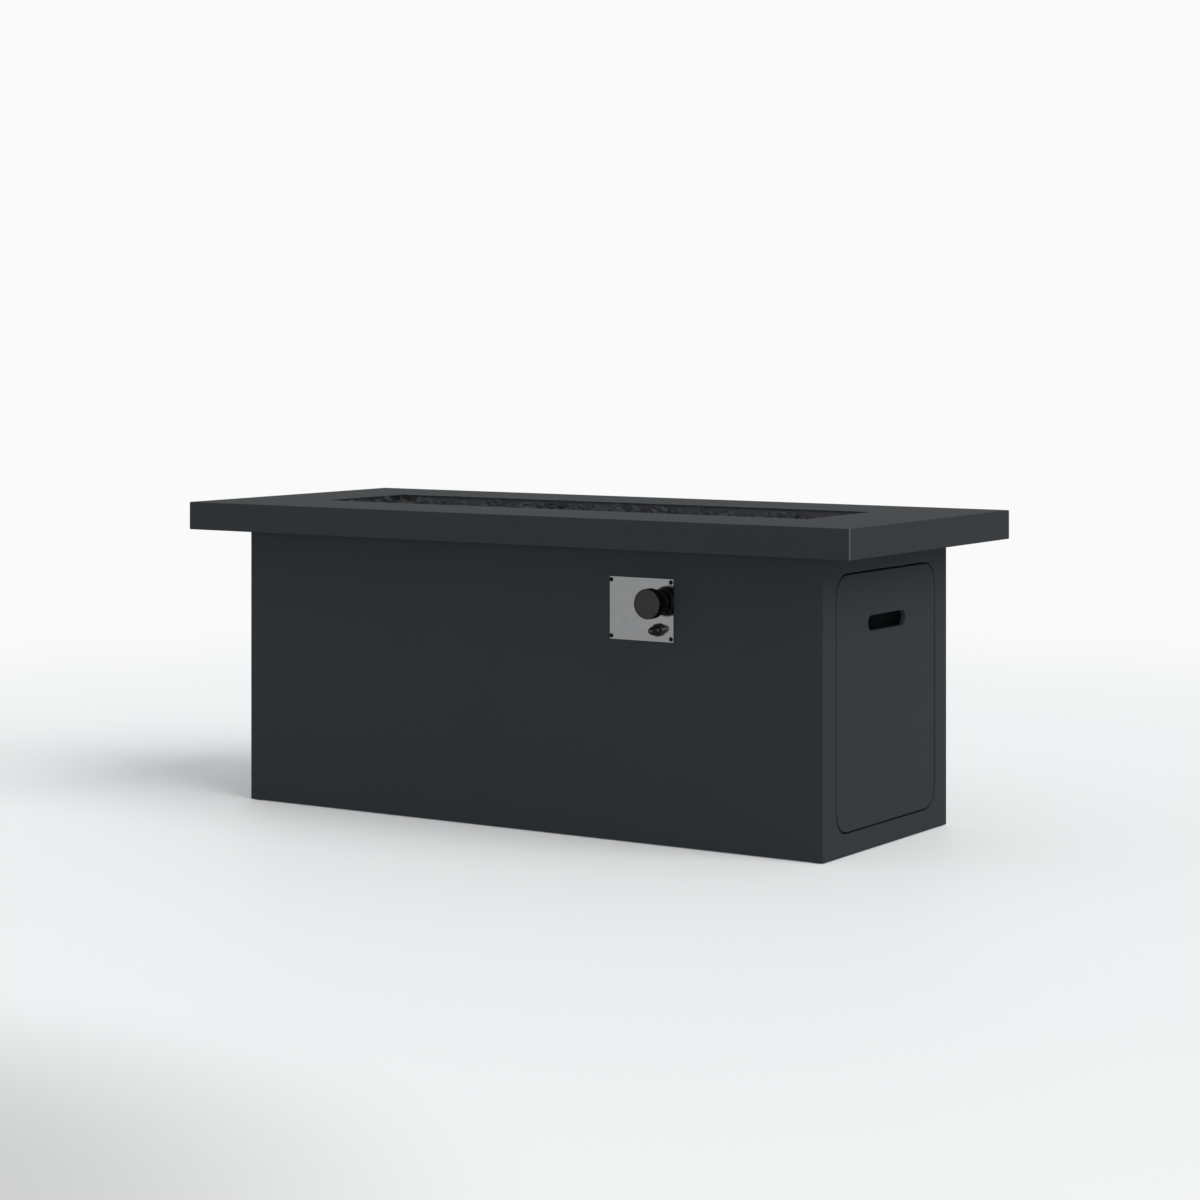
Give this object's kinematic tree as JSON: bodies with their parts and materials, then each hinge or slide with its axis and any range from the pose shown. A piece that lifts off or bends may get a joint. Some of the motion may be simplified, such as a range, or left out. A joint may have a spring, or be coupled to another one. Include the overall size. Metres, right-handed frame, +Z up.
{
  "type": "fire pit table",
  "caption": "Rectangular gas fire pit table: flat overhanging steel top with a lava rock burner, box cabinet with control plate and lift-off access door.",
  "frame": {"origin": "middle of the table's footprint, on the floor", "axes": "+X along the length towards the end with the access door, -Y out of the side with the controls, +Z up"},
  "size_m": [1.524, 0.658, 0.6117],
  "materials": {
    "powder_coat": "fine matt charcoal powder coat",
    "frame_coat": "thin black primer",
    "galvanised": "hot-dip galvanised sheet",
    "stainless": "brushed stainless steel",
    "stainless_pan": "mill-finish stainless steel, heat-tinted",
    "zinc": "bright zinc plate",
    "black_screw": "black oxide",
    "brass": "turned brass",
    "aluminium": "drawn aluminium",
    "copper": "drawn copper and steel",
    "knob_plastic": "moulded black phenolic, satin",
    "igniter_plastic": "moulded black nylon",
    "foot_plastic": "moulded black polyethylene",
    "magnet_case": "moulded plastic with steel poles",
    "rubber": "black rubber",
    "silicone": "red silicone sleeve",
    "ceramic": "glazed alumina",
    "lava": "rough vesicular basalt"
  },
  "bodies": {
    "table": {"air_mixer": "aluminium", "back_panel": "powder_coat", "base_rail_back": "frame_coat", "base_rail_front": "frame_coat", "base_rail_left": "frame_coat", "base_rail_right": "frame_coat", "burner": "stainless_pan", "burner_lock_nut": "zinc", "burner_pan": "stainless_pan", "burner_stands": "stainless_pan", "catch_brackets": "frame_coat", "catch_magnets": "magnet_case", "control_plate": "stainless", "corner_post_back_left": "frame_coat", "corner_post_back_right": "frame_coat", "corner_post_front_left": "frame_coat", "corner_post_front_right": "frame_coat", "electrode": "ceramic", "flame_bracket": "galvanised", "flame_probe": "copper", "floor_panel": "galvanised", "front_panel": "powder_coat", "gas_pipe": "aluminium", "glide_feet": "foot_plastic", "heat_shield": "galvanised", "igniter_body": "igniter_plastic", "igniter_nut": "igniter_plastic", "igniter_spring": "zinc", "ignition_lead": "silicone", "inlet_fitting": "brass", "lava_rock": "lava", "left_end_panel": "powder_coat", "orifice_fitting": "brass", "pan_fixings": "zinc", "peg_sockets": "rubber", "pipe_nuts": "brass", "plate_nuts": "zinc", "plate_screws": "black_screw", "right_end_panel": "powder_coat", "shield_standoffs": "zinc", "sill_brackets": "frame_coat", "tabletop": "powder_coat", "tank_ring": "frame_coat", "top_bolts": "zinc", "top_rail_back": "frame_coat", "top_rail_front": "frame_coat", "top_rail_left": "frame_coat", "top_rail_right": "frame_coat", "valve_body": "brass", "valve_bonnet": "brass", "valve_bracket": "galvanised", "valve_screws": "zinc", "valve_spring": "zinc"},
    "door": {"access_door": "powder_coat", "door_pegs": "zinc"},
    "knob_push": {"thrust_washer": "zinc"},
    "knob_turn": {"knob": "knob_plastic", "valve_stem": "zinc"},
    "valve_plug": {"valve_plug": "brass"},
    "igniter_button": {"igniter_button": "igniter_plastic"}
  },
  "joints": [
    {"name": "door_pull", "type": "slide", "parent": "table", "child": "door", "axis": [1, 0, 0], "range_m": [0, 0.25]},
    {"name": "knob_push", "type": "slide", "parent": "table", "child": "knob_push", "axis": [0, 1, 0], "range_m": [0, 0.0035], "stiffness_N_per_m": 1500, "springref_m": -0.003, "deforming": ["valve_spring"]},
    {"name": "knob_turn", "type": "hinge", "parent": "knob_push", "child": "knob_turn", "pos_m": [0.3202, -0.27, 0.4531], "axis": [0, -1, 0], "range_deg": [0, 225]},
    {"name": "plug_turn", "type": "hinge", "parent": "table", "child": "valve_plug", "pos_m": [0.3202, -0.21, 0.4531], "axis": [0, -1, 0], "range_deg": [0, 225]},
    {"name": "igniter_press", "type": "slide", "parent": "table", "child": "igniter_button", "axis": [0, 1, 0], "range_m": [0, 0.006], "stiffness_N_per_m": 1200, "springref_m": -0.004, "deforming": ["igniter_spring"]}
  ],
  "couplings": [
    {"joint": "plug_turn", "follows": "knob_turn", "ratio": 1}
  ]
}
